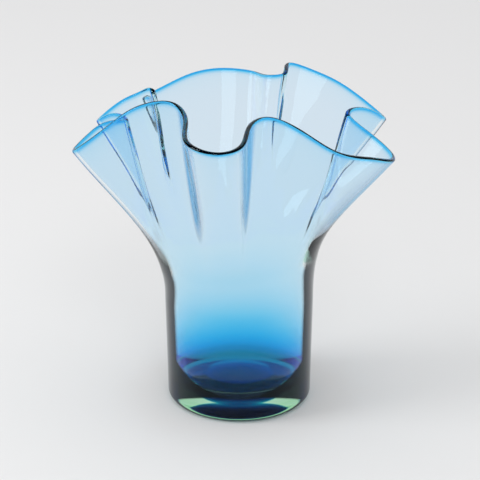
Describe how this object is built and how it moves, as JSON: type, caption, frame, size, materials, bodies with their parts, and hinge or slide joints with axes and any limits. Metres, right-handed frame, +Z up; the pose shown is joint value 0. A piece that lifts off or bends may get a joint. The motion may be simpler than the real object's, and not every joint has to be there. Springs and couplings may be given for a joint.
{
  "type": "ruffled glass vase",
  "caption": "Blown glass vase: a round, thick-bottomed cup opening into a wide flare whose rim is pulled into leaf-like lobes and folds. Holds water and stems.",
  "frame": {"origin": "centre of the flat underside, on the surface that the vase stands on", "axes": "+Z up along the cup's axis; -Y towards the narrow front lobe; +X and -X towards the widest lobes"},
  "size_m": [0.1841, 0.175, 0.1944],
  "materials": {
    "glass": "gloss"
  },
  "bodies": {
    "root": {"vase": "glass"}
  },
  "joints": []
}
